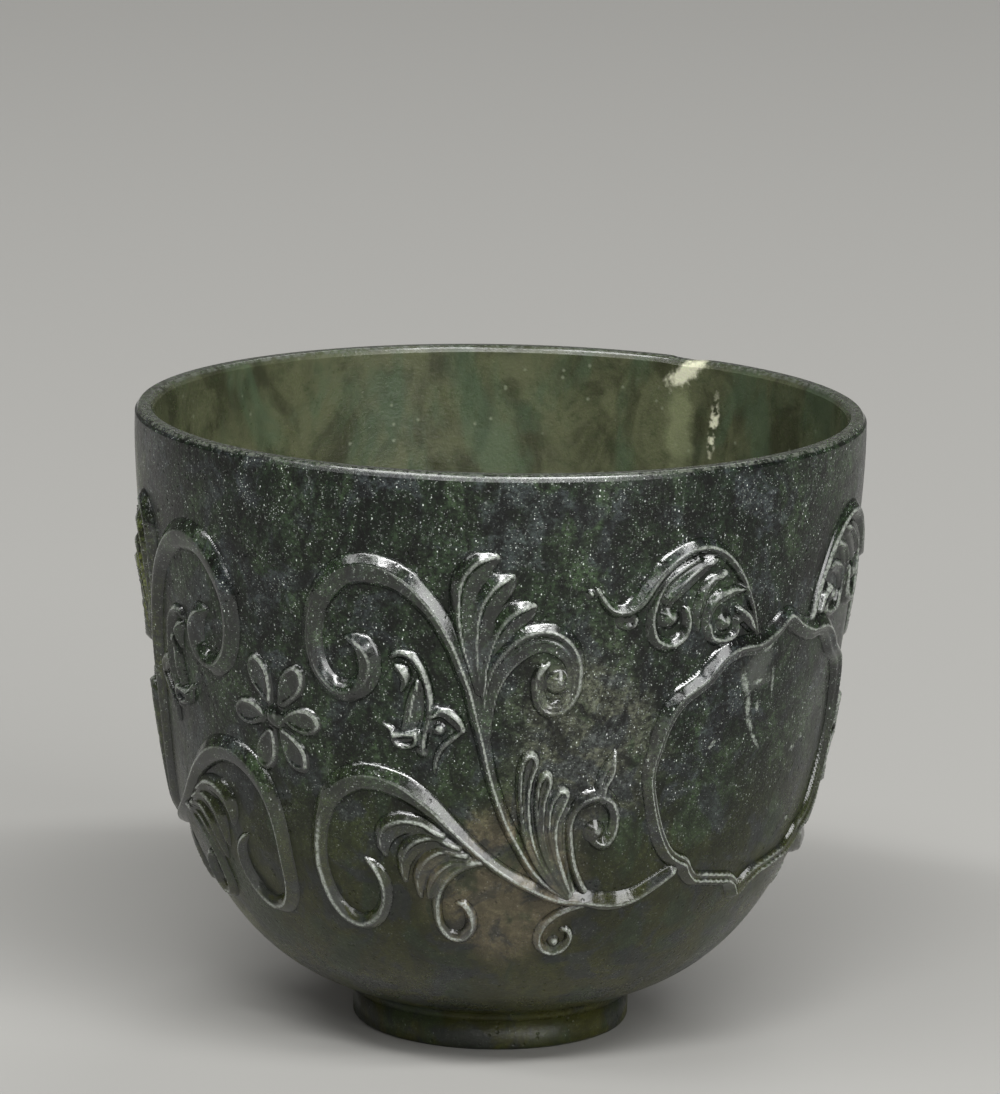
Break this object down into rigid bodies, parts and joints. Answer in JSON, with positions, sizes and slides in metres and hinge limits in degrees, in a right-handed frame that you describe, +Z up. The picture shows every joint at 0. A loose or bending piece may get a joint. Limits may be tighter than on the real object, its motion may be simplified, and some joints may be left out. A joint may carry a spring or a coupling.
{
  "type": "jade cup",
  "caption": "Round cup of dark green jade on a low foot ring, with scrolls, flowers and lobed cartouches carved in low relief.",
  "frame": {"origin": "middle of the foot ring's bottom face, on the surface the cup stands on", "axes": "+Z up along the cup's axis, -Y towards one carved cartouche and -X towards one flower"},
  "size_m": [0.072, 0.072, 0.062],
  "materials": {
    "jade_body": "polished dark green nephrite with lighter and darker mottles and fine specks",
    "jade_relief": "the same stone, carved, with polished edges and duller hollows",
    "jade_foot": "the same stone, satin, with a ground bottom face"
  },
  "bodies": {
    "root": {"bowl": "jade_body", "foot_ring": "jade_foot", "front_cartouche_frame": "jade_relief", "back_cartouche_frame": "jade_relief", "left_flower": "jade_relief", "right_flower": "jade_relief", "front_left_lower_scroll": "jade_relief", "front_left_main_scroll": "jade_relief", "front_left_side_curl": "jade_relief", "front_left_acanthus_fan": "jade_relief", "front_left_upper_leaves": "jade_relief", "front_left_crest": "jade_relief", "front_left_lower_leaves": "jade_relief", "front_left_pendant_bud": "jade_relief", "front_left_foot_spiral": "jade_relief", "front_right_lower_scroll": "jade_relief", "front_right_main_scroll": "jade_relief", "front_right_side_curl": "jade_relief", "front_right_acanthus_fan": "jade_relief", "front_right_upper_leaves": "jade_relief", "front_right_crest": "jade_relief", "front_right_lower_leaves": "jade_relief", "front_right_pendant_bud": "jade_relief", "front_right_foot_spiral": "jade_relief", "back_left_lower_scroll": "jade_relief", "back_left_main_scroll": "jade_relief", "back_left_side_curl": "jade_relief", "back_left_acanthus_fan": "jade_relief", "back_left_upper_leaves": "jade_relief", "back_left_crest": "jade_relief", "back_left_lower_leaves": "jade_relief", "back_left_pendant_bud": "jade_relief", "back_left_foot_spiral": "jade_relief", "back_right_lower_scroll": "jade_relief", "back_right_main_scroll": "jade_relief", "back_right_side_curl": "jade_relief", "back_right_acanthus_fan": "jade_relief", "back_right_upper_leaves": "jade_relief", "back_right_crest": "jade_relief", "back_right_lower_leaves": "jade_relief", "back_right_pendant_bud": "jade_relief", "back_right_foot_spiral": "jade_relief"}
  },
  "joints": []
}
